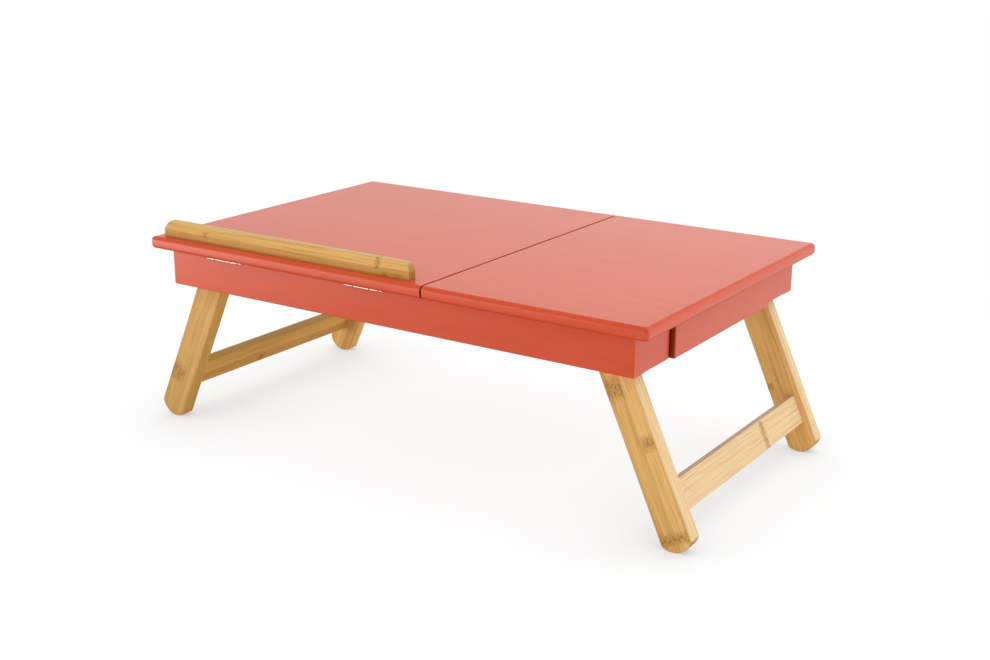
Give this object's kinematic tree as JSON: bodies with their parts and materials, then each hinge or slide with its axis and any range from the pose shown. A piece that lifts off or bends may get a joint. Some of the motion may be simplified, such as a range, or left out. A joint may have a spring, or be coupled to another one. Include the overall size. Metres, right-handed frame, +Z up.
{
  "type": "laptop table",
  "caption": "Folding bed table for a laptop: painted top with a tilting panel, prop and stop rail, bamboo leg frames that fold flat, and a shallow drawer in one end.",
  "frame": {"origin": "on the floor under the middle of the table's outer box, legs open", "axes": "+X along the table to the drawer end, -Y to the hinged front edge with the stop rail, +Z up"},
  "size_m": [0.6126, 0.35, 0.2156],
  "materials": {
    "coral_lacquer": "satin coral lacquer over wood, faint grain",
    "bamboo": "laminated bamboo strips under clear satin varnish",
    "plain_wood": "sanded pale wood",
    "nickel_steel": "nickel plated, lightly brushed",
    "brass": "plain turned brass"
  },
  "bodies": {
    "table_frame": {"front_board": "coral_lacquer", "back_board": "coral_lacquer", "left_end_board": "coral_lacquer", "right_front_end_block": "coral_lacquer", "right_back_end_block": "coral_lacquer", "corner_dowels": "plain_wood", "fixed_top_panel": "coral_lacquer", "fixed_panel_dowels": "plain_wood", "centre_rail": "coral_lacquer", "centre_rail_dowels": "plain_wood", "prop_rack": "coral_lacquer", "rack_ledger": "coral_lacquer", "rack_screws": "nickel_steel", "front_drawer_guide": "plain_wood", "back_drawer_guide": "plain_wood", "guide_screws": "nickel_steel", "front_drawer_runner": "plain_wood", "back_drawer_runner": "plain_wood", "left_hinge_fixed_leaf": "nickel_steel", "right_hinge_fixed_leaf": "nickel_steel", "hinge_pins": "nickel_steel", "fixed_leaf_screws": "nickel_steel", "leg_pivot_bolts": "nickel_steel", "threaded_inserts": "brass", "leg_washers": "nickel_steel"},
    "tilting_top": {"tilting_top_panel": "coral_lacquer", "laptop_stop_rail": "bamboo", "stop_rail_screws": "nickel_steel", "left_hinge_moving_leaf": "nickel_steel", "right_hinge_moving_leaf": "nickel_steel", "moving_leaf_screws": "nickel_steel", "left_prop_bracket": "coral_lacquer", "right_prop_bracket": "coral_lacquer", "prop_bracket_screws": "nickel_steel", "prop_pivot_rod": "nickel_steel"},
    "tilt_prop": {"left_prop_arm": "bamboo", "right_prop_arm": "bamboo", "prop_foot_rod": "bamboo"},
    "left_leg_frame": {"left_front_leg": "bamboo", "left_back_leg": "bamboo", "left_stretcher": "bamboo", "left_stretcher_dowels": "plain_wood"},
    "right_leg_frame": {"right_front_leg": "bamboo", "right_back_leg": "bamboo", "right_stretcher": "bamboo", "right_stretcher_dowels": "plain_wood"},
    "drawer": {"drawer_front_panel": "coral_lacquer", "drawer_front_side": "plain_wood", "drawer_back_side": "plain_wood", "drawer_inner_end": "plain_wood", "drawer_floor_board": "plain_wood", "drawer_dowels": "plain_wood"}
  },
  "joints": [
    {"name": "top_tilt", "type": "hinge", "parent": "table_frame", "child": "tilting_top", "pos_m": [-0.1107, -0.1654, 0.1856], "axis": [1, 0, 0], "range_deg": [0, 35]},
    {"name": "prop_swing", "type": "hinge", "parent": "tilting_top", "child": "tilt_prop", "pos_m": [-0.1107, -0.02239, 0.1825], "axis": [1, 0, 0], "range_deg": [-70, 0]},
    {"name": "right_leg_fold", "type": "hinge", "parent": "table_frame", "child": "right_leg_frame", "pos_m": [0.22055, 0, 0.1675], "axis": [0, 1, 0], "range_deg": [0, 114.5]},
    {"name": "left_leg_fold", "type": "hinge", "parent": "table_frame", "child": "left_leg_frame", "pos_m": [-0.22055, 0, 0.1675], "axis": [0, -1, 0], "range_deg": [0, 114.5]},
    {"name": "drawer_slide", "type": "slide", "parent": "table_frame", "child": "drawer", "axis": [1, 0, 0], "range_m": [0, 0.11]}
  ],
  "couplings": [
    {"joint": "prop_swing", "follows": "top_tilt", "ratio": -2}
  ]
}
